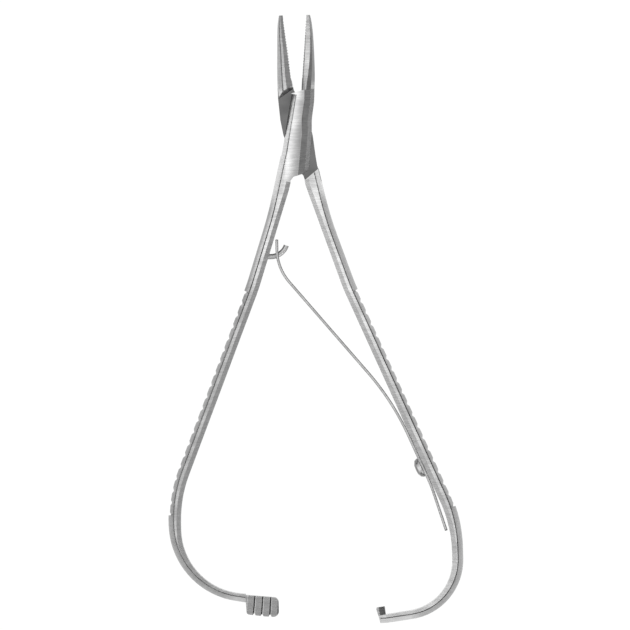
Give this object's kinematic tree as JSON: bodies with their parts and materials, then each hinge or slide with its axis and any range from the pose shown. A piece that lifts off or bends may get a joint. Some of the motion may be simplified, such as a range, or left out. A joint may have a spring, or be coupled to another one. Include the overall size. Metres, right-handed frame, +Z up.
{
  "type": "needle holder",
  "caption": "Palm-grip surgical needle holder with box lock, scalloped spring handles, leaf spring and a rack with a pawl at the handle ends.",
  "frame": {"origin": "centre of the plan's bounding box, on the plane that the instrument lies on", "axes": "+Y towards the jaw tips, +Z up out of the front face, +X towards the handle with the pawl"},
  "size_m": [0.0824, 0.171, 0.007],
  "materials": {
    "steel": "satin",
    "spring_steel": "satin",
    "polished_steel": "polished"
  },
  "bodies": {
    "box_half_body": {"box_half": "steel", "pivot_rivet": "steel", "spring_horn": "polished_steel"},
    "tenon_half_body": {"tenon_half": "steel", "leaf_spring": "spring_steel", "spring_screw": "polished_steel"}
  },
  "joints": [
    {"name": "handle_pivot", "type": "hinge", "parent": "box_half_body", "child": "tenon_half_body", "pos_m": [-0.0022, 0.05576, 0.0035], "axis": [0, 0, -1], "range_deg": [0, 12.4], "stiffness_Nm_per_rad": 0.15, "springref_deg": -17.19, "deforming": ["leaf_spring"]}
  ]
}
